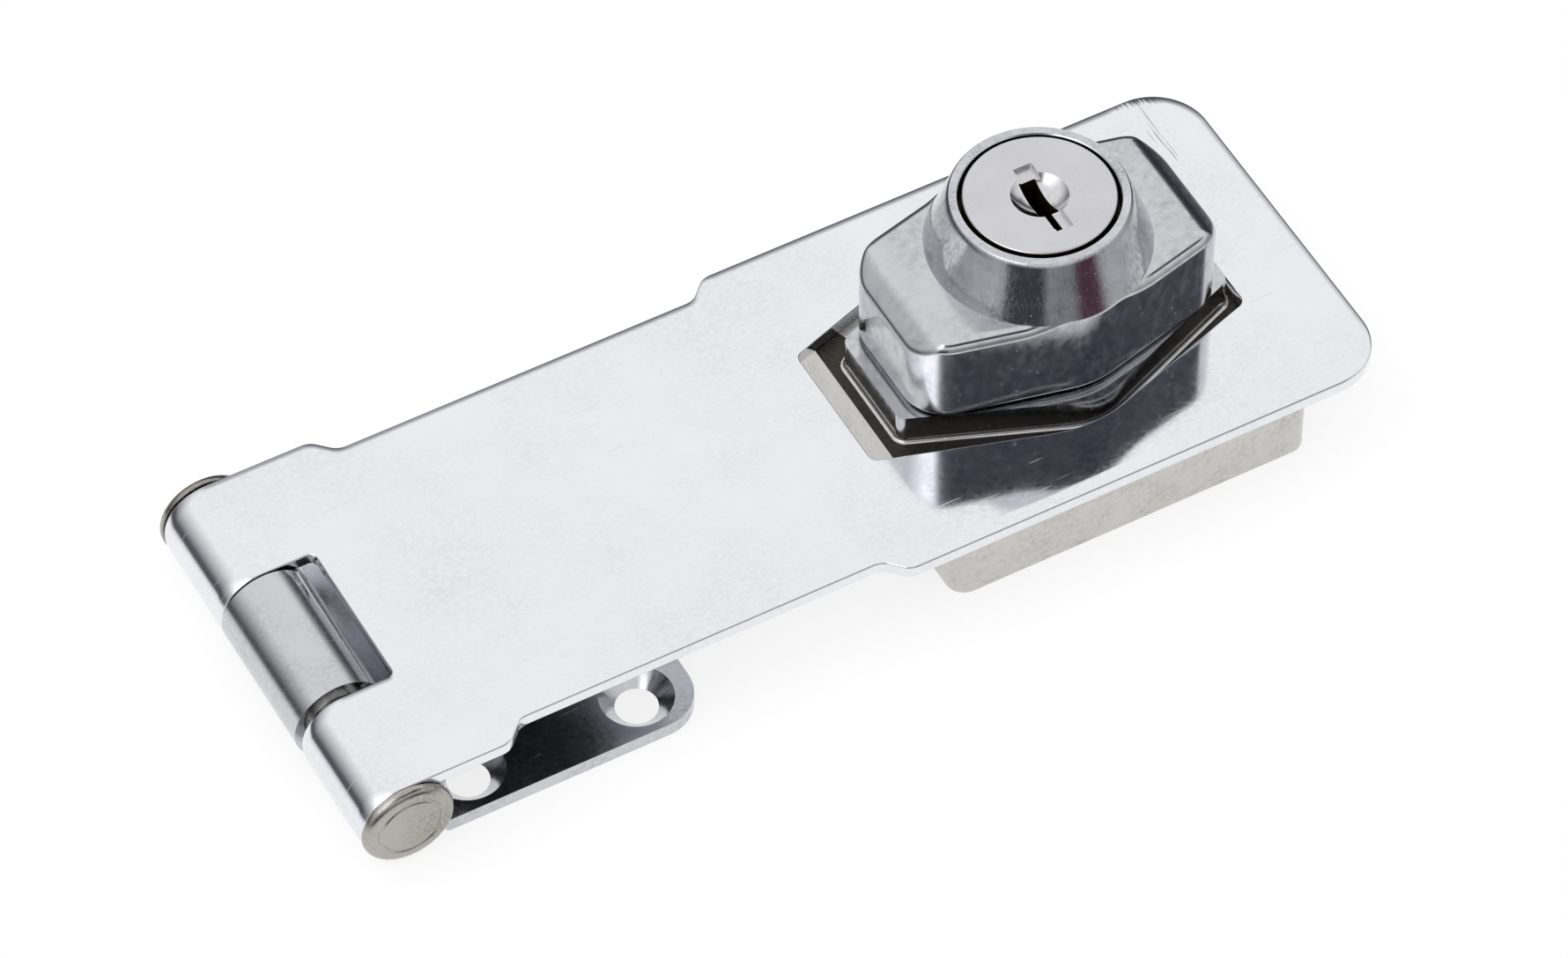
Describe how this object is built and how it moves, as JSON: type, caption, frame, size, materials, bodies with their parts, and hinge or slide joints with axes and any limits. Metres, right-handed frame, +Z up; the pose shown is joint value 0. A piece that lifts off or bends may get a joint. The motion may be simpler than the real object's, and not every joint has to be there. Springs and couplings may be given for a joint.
{
  "type": "keyed hasp lock",
  "caption": "Keyed hasp lock: a slotted strap hinged on a screw-on leaf closes over a cast base whose hexagonal turning knob holds a wafer plug that drives a bolt.",
  "frame": {"origin": "middle of the whole length and width, on the mounting plane", "axes": "+X from the hinge barrel to the free end of the strap, +Z up out of the mounting plane"},
  "size_m": [0.1142, 0.0446, 0.0288],
  "materials": {
    "rolled_chrome": "bright chrome plate on rolled sheet steel, fine hairline scratches",
    "cast_chrome": "chrome plate on a zinc die casting, brushed on the collar",
    "pin_steel": "dull turned steel",
    "plug_face": "satin nickel on brass",
    "wafer_brass": "plain stamped brass",
    "spring_steel": "plain spring steel",
    "bolt_steel": "plain steel"
  },
  "bodies": {
    "mounting": {"leaf": "rolled_chrome", "base": "cast_chrome"},
    "strap": {"strap": "rolled_chrome", "hinge_pin": "pin_steel"},
    "knob": {"knob": "cast_chrome", "friction_washer": "spring_steel", "stop_washer": "spring_steel", "retaining_clip": "spring_steel"},
    "plug": {"plug": "plug_face", "wafer_1": "wafer_brass", "wafer_2": "wafer_brass", "wafer_3": "wafer_brass", "wafer_4": "wafer_brass", "wafer_5": "wafer_brass", "wafer_spring_1": "spring_steel", "wafer_spring_2": "spring_steel", "wafer_spring_3": "spring_steel", "wafer_spring_4": "spring_steel", "wafer_spring_5": "spring_steel", "catch_wafer": "wafer_brass", "catch_spring": "spring_steel"},
    "bolt": {"lock_bolt": "bolt_steel"}
  },
  "joints": [
    {"name": "strap_hinge", "type": "hinge", "parent": "mounting", "child": "strap", "pos_m": [-0.0523, 0, 0.00485], "axis": [0, -1, 0], "range_deg": [0, 180]},
    {"name": "knob_turn", "type": "hinge", "parent": "mounting", "child": "knob", "pos_m": [0.0286, 0, 0.0224], "axis": [0, 0, 1], "range_deg": [0, 90]},
    {"name": "plug_turn", "type": "hinge", "parent": "knob", "child": "plug", "pos_m": [0.0286, 0, 0.0288], "axis": [0, 0, 1], "range_deg": [0, 90]},
    {"name": "bolt_slide", "type": "slide", "parent": "knob", "child": "bolt", "axis": [1, 0, 0], "range_m": [0, 0.00283]}
  ],
  "couplings": [
    {"joint": "bolt_slide", "follows": "plug_turn", "m_per_rad": 0.0018}
  ]
}
